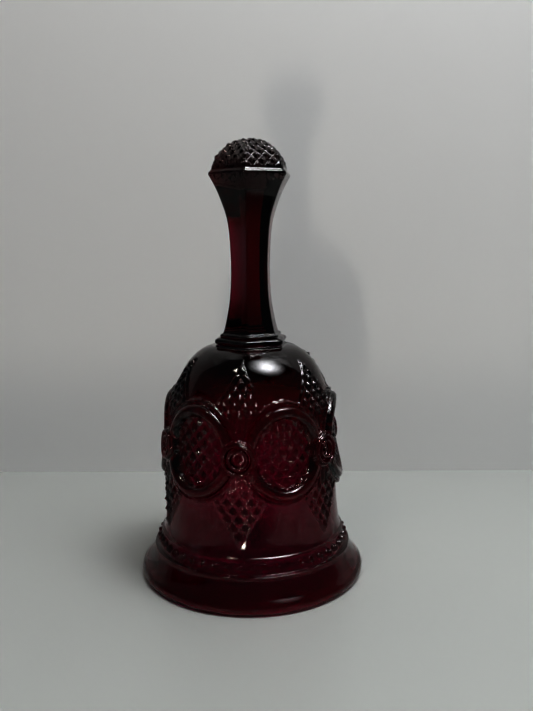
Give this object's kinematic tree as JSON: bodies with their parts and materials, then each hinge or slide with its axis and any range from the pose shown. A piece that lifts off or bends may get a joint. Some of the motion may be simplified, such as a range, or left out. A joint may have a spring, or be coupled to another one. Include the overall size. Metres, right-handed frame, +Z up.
{
  "type": "glass bell",
  "caption": "Pressed ruby glass hand bell with a flared foot, oval and diamond-point relief, hexagonal handle and a chain-hung clapper.",
  "frame": {"origin": "on the bell's axis, in the plane of the rim that it stands on", "axes": "+Z up along the axis towards the knob; -Y towards a front boss and a front edge of the handle"},
  "size_m": [0.0869, 0.087, 0.165],
  "materials": {
    "ruby_glass": "fire-polished pressed glass",
    "cement": "matt set cement",
    "plated_wire": "nickel-plated steel wire",
    "plated_cap": "nickel-plated pressed steel",
    "ball_steel": "polished nickel-plated steel"
  },
  "bodies": {
    "bell": {"glass_bell": "ruby_glass", "crown_cement": "cement", "hanger_eye": "plated_wire"},
    "link_1": {"chain_link_1": "plated_wire"},
    "link_2": {"chain_link_2": "plated_wire"},
    "link_3": {"chain_link_3": "plated_wire"},
    "link_4": {"chain_link_4": "plated_wire"},
    "link_5": {"chain_link_5": "plated_wire"},
    "link_6": {"chain_link_6": "plated_wire"},
    "clapper": {"clapper_pin": "plated_wire", "clapper_upper_cap": "plated_cap", "clapper_ball": "ball_steel", "clapper_washer": "plated_cap"}
  },
  "joints": [
    {"name": "eye_to_link_1", "type": "hinge", "parent": "bell", "child": "link_1", "pos_m": [0, 0, 0.0744], "axis": [1, 0, 0], "range_deg": [-24, 24]},
    {"name": "link_1_to_link_2", "type": "hinge", "parent": "link_1", "child": "link_2", "pos_m": [0, 0, 0.06783], "axis": [0, 1, 0], "range_deg": [-28, 28]},
    {"name": "link_2_to_link_3", "type": "hinge", "parent": "link_2", "child": "link_3", "pos_m": [0, 0, 0.06127], "axis": [-1, 0, 0], "range_deg": [-32, 32]},
    {"name": "link_3_to_link_4", "type": "hinge", "parent": "link_3", "child": "link_4", "pos_m": [0, 0, 0.0547], "axis": [0, -1, 0], "range_deg": [-38, 38]},
    {"name": "link_4_to_link_5", "type": "hinge", "parent": "link_4", "child": "link_5", "pos_m": [0, 0, 0.04813], "axis": [1, 0, 0], "range_deg": [-36, 36]},
    {"name": "link_5_to_link_6", "type": "hinge", "parent": "link_5", "child": "link_6", "pos_m": [0, 0, 0.04157], "axis": [0, 1, 0], "range_deg": [-48, 48]},
    {"name": "link_6_to_clapper", "type": "hinge", "parent": "link_6", "child": "clapper", "pos_m": [0, 0, 0.035], "axis": [-1, 0, 0], "range_deg": [-60, 60]}
  ]
}
